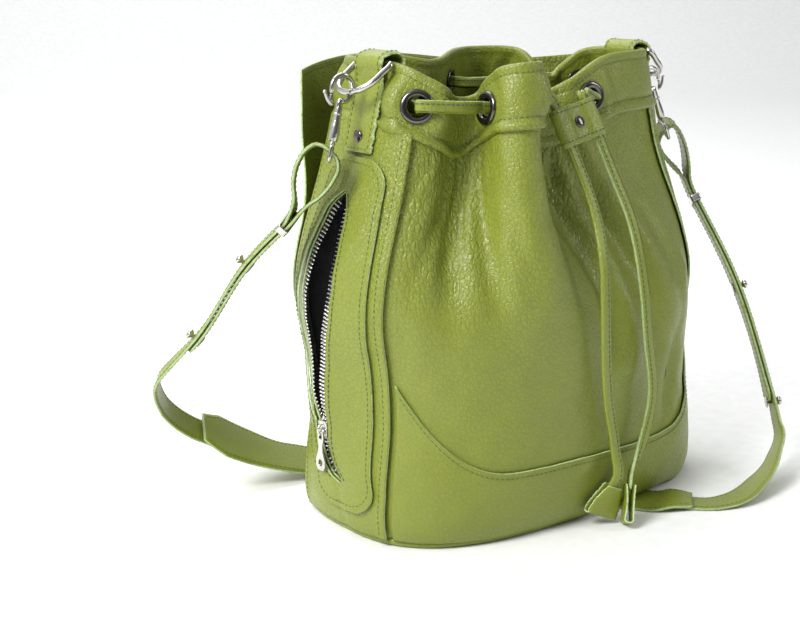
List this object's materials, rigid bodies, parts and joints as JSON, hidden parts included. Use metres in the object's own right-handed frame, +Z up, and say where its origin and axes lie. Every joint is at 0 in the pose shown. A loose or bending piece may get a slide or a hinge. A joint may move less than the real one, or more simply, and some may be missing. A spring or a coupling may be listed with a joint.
{
  "type": "drawstring bucket bag",
  "caption": "Leather bucket bag with a gathered drawstring mouth, side zip pocket, back slip pocket and a hooked shoulder strap lying round its base.",
  "frame": {"origin": "centre of the underside of the strap pad where it passes under the middle of the bag, on the floor plane", "axes": "+Z up; -Y towards the front panel; -X towards the zip gusset"},
  "size_m": [0.4018, 0.2514, 0.2954],
  "materials": {
    "leather": "pebbled, semi matt",
    "edged_leather": "pebbled with pale raw edges",
    "strap_leather": "pebbled with pale raw edges",
    "cord_leather": "folded and stitched, pale raw edges",
    "nickel": "polished nickel",
    "zip_metal": "bright nickel zip",
    "gunmetal": "dark nickel",
    "lining": "matt black cotton",
    "tape": "matt black woven tape",
    "board": "matt"
  },
  "bodies": {
    "bag": {"back_panel": "leather", "back_pocket": "leather", "base_board": "board", "base_panel": "leather", "base_welt": "leather", "drawstring": "cord_leather", "eyelet_back_1": "gunmetal", "eyelet_back_2": "gunmetal", "eyelet_back_3": "gunmetal", "eyelet_back_4": "gunmetal", "eyelet_front_1": "gunmetal", "eyelet_front_2": "gunmetal", "eyelet_front_3": "gunmetal", "eyelet_front_4": "gunmetal", "front_lower_panel": "leather", "front_panel": "leather", "left_gusset": "leather", "left_strap": "strap_leather", "left_stud_1": "nickel", "left_stud_2": "nickel", "left_tab": "edged_leather", "left_tab_rivet": "gunmetal", "left_tail": "cord_leather", "left_tassel": "cord_leather", "lining": "lining", "right_gusset": "leather", "right_strap": "strap_leather", "right_stud_1": "nickel", "right_stud_2": "nickel", "right_tab": "edged_leather", "right_tab_rivet": "gunmetal", "right_tail": "cord_leather", "right_tassel": "cord_leather", "strap_pad": "strap_leather", "top_band_back": "leather", "top_band_front": "leather", "zip_bottom_stop": "zip_metal", "zip_facing": "edged_leather", "zip_pocket": "lining", "zip_tape_back": "tape", "zip_tape_front": "tape", "zip_teeth_back": "zip_metal", "zip_teeth_front": "zip_metal"},
    "zip_slider_body": {"zip_slider": "zip_metal"},
    "zip_pull_body": {"zip_pull": "zip_metal"},
    "cinch": {"cinch_slider": "cord_leather", "cinch_rivet": "gunmetal"},
    "left_ring": {"left_d_ring": "nickel", "left_hook": "nickel"},
    "left_gate": {"left_trigger": "nickel"},
    "left_eye": {"left_swivel_eye": "nickel"},
    "left_loop": {"left_keeper": "nickel"},
    "right_ring": {"right_d_ring": "nickel", "right_hook": "nickel"},
    "right_gate": {"right_trigger": "nickel"},
    "right_eye": {"right_swivel_eye": "nickel"},
    "right_loop": {"right_keeper": "nickel"}
  },
  "joints": [
    {"name": "zip_slide", "type": "slide", "parent": "bag", "child": "zip_slider_body", "axis": [0.1438, 0.0194, -0.9894], "range_m": [0, 0.006]},
    {"name": "zip_pull_swing", "type": "hinge", "parent": "zip_slider_body", "child": "zip_pull_body", "pos_m": [-0.14373, 0.00793, 0.06403], "axis": [-0.0112, 0.9999, 0.0072], "range_deg": [0, 140]},
    {"name": "cinch_slide", "type": "slide", "parent": "bag", "child": "cinch", "axis": [0.2, -0.3601, -0.9112], "range_m": [0, 0.015]},
    {"name": "left_ring_swing", "type": "hinge", "parent": "bag", "child": "left_ring", "pos_m": [-0.11183, -0.00538, 0.28727], "axis": [0, 1, 0], "range_deg": [0, 30], "deforming": ["left_strap"]},
    {"name": "left_gate_press", "type": "hinge", "parent": "left_ring", "child": "left_gate", "pos_m": [-0.14101, -0.00538, 0.26488], "axis": [0, 1, 0], "range_deg": [0, 18], "stiffness_Nm_per_rad": 0.02, "springref_deg": -2.86},
    {"name": "left_eye_swivel", "type": "hinge", "parent": "left_ring", "child": "left_eye", "pos_m": [-0.14146, -0.00538, 0.24341], "axis": [-0.23, 0, -0.9732], "range_deg": [-30, 30], "deforming": ["left_strap"]},
    {"name": "left_keeper_slide", "type": "slide", "parent": "bag", "child": "left_loop", "axis": [-0.2829, 0.6876, -0.6687], "range_m": [0, 0.004]},
    {"name": "right_ring_swing", "type": "hinge", "parent": "bag", "child": "right_ring", "pos_m": [0.10948, -0.00135, 0.2875], "axis": [0, -1, 0], "range_deg": [0, 30], "deforming": ["right_strap"]},
    {"name": "right_gate_press", "type": "hinge", "parent": "right_ring", "child": "right_gate", "pos_m": [0.13767, -0.00135, 0.25983], "axis": [0, -1, 0], "range_deg": [0, 18], "stiffness_Nm_per_rad": 0.02, "springref_deg": -2.86},
    {"name": "right_eye_swivel", "type": "hinge", "parent": "right_ring", "child": "right_eye", "pos_m": [0.14195, -0.00135, 0.23878], "axis": [0.4006, 0, -0.9163], "range_deg": [-30, 30], "deforming": ["right_strap"]},
    {"name": "right_keeper_slide", "type": "slide", "parent": "bag", "child": "right_loop", "axis": [0.109, -0.5436, -0.8322], "range_m": [0, 0.004]}
  ]
}
